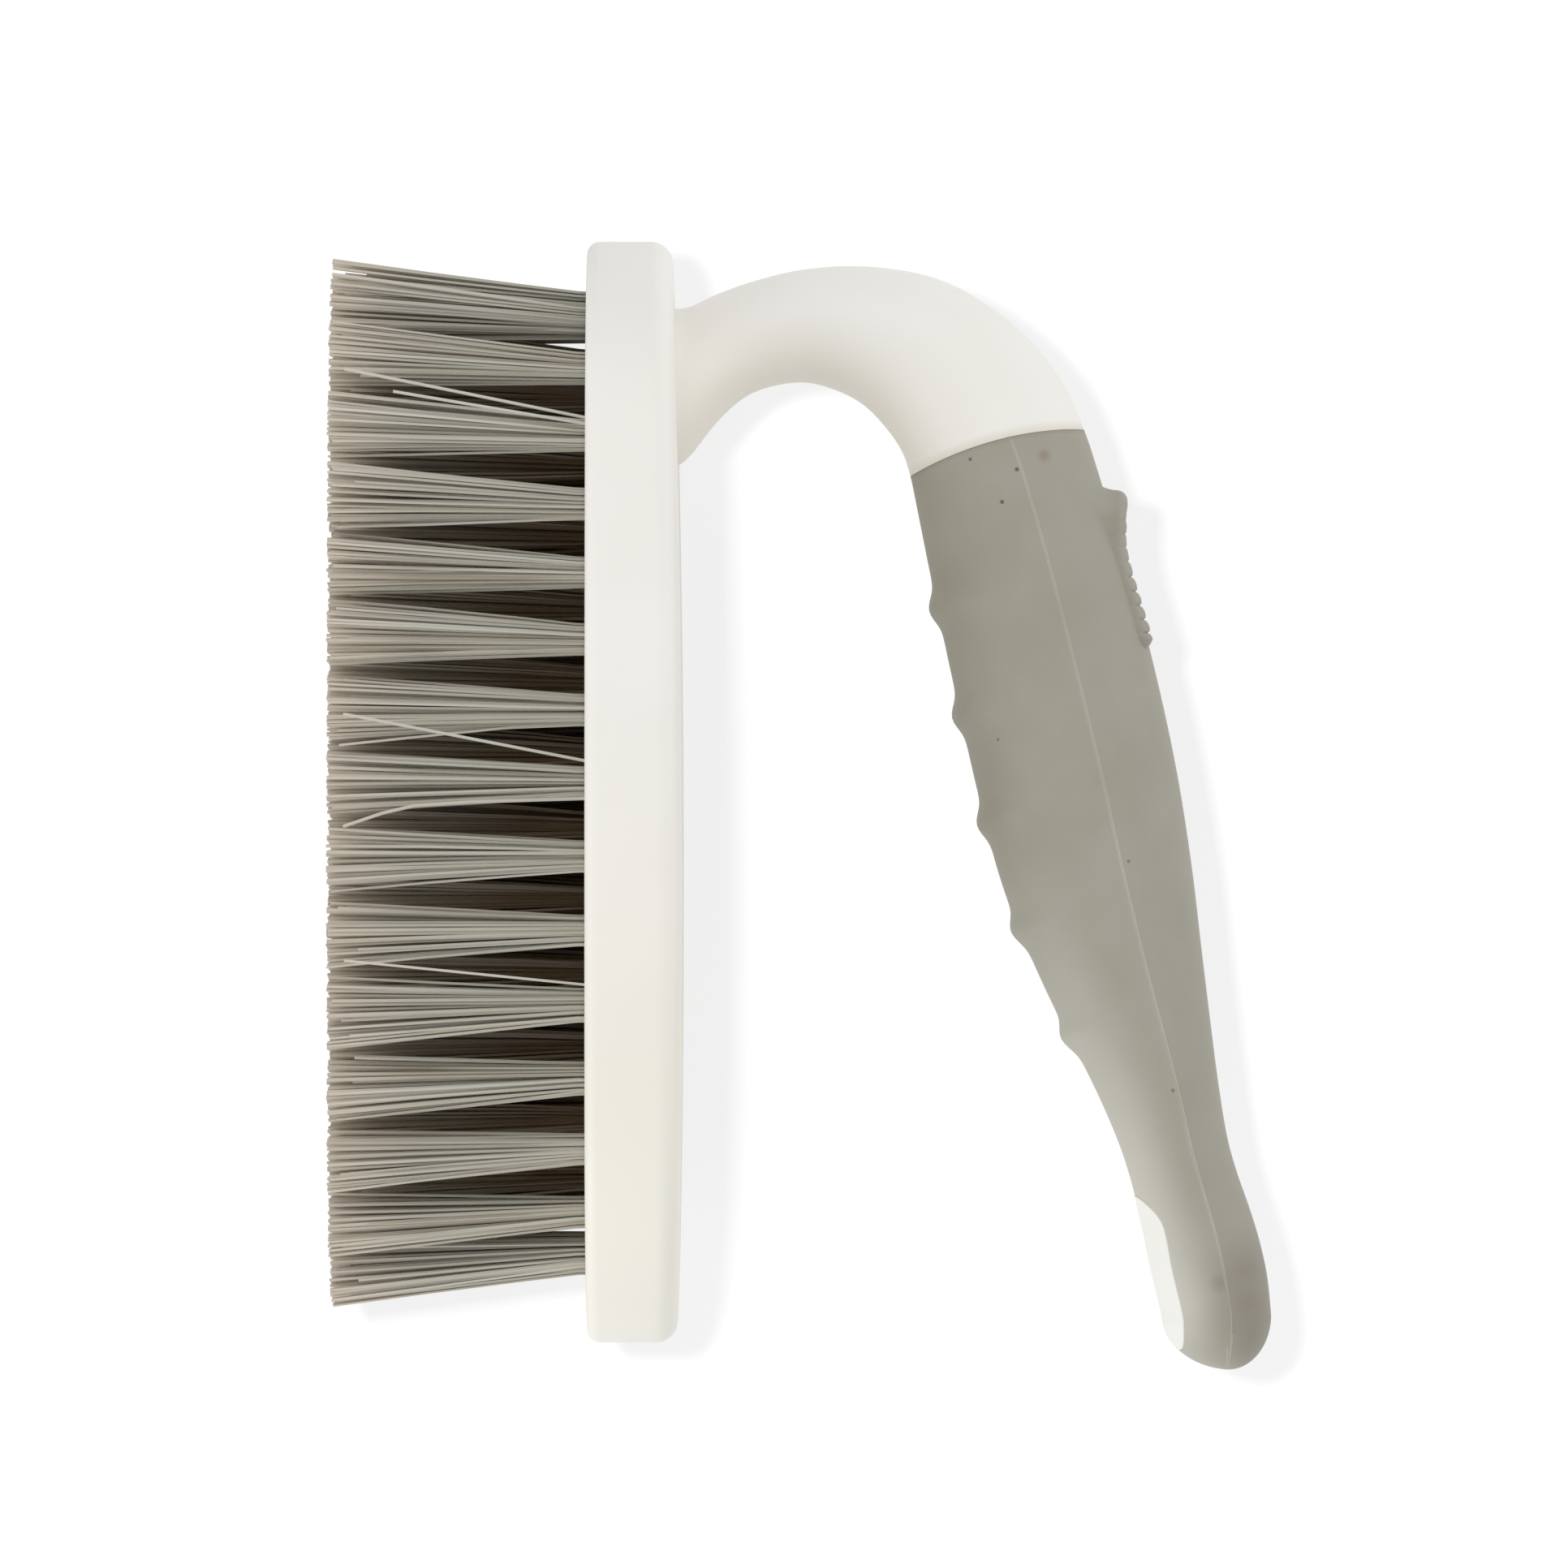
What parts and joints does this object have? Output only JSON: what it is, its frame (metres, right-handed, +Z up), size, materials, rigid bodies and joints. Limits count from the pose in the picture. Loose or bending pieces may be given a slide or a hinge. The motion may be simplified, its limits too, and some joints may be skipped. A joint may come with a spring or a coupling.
{
  "type": "hand scrub brush",
  "caption": "Hand scrub brush: an oval block of stiff bristle tufts and an arched handle that curves back over it, with a soft ridged grip and a ribbed thumb pad.",
  "frame": {"origin": "middle of the block's length and width, on the plane of the bristle tips that the brush stands on", "axes": "+Z up from the tips through the block, +X from the nose under the handle's root to the heel, +Y across the block, square to the plane that the brush is symmetric about"},
  "size_m": [0.1537, 0.0678, 0.128],
  "materials": {
    "white_plastic": "satin white polypropylene, moulded",
    "grey_rubber": "matte warm grey thermoplastic rubber, overmoulded",
    "bristle_nylon": "satin grey-green nylon filament",
    "anchor_brass": "plain flat staple wire"
  },
  "bodies": {
    "root": {"brush_block": "white_plastic", "handle": "white_plastic", "soft_grip": "grey_rubber", "bristles": "bristle_nylon", "anchors": "anchor_brass"}
  },
  "joints": []
}
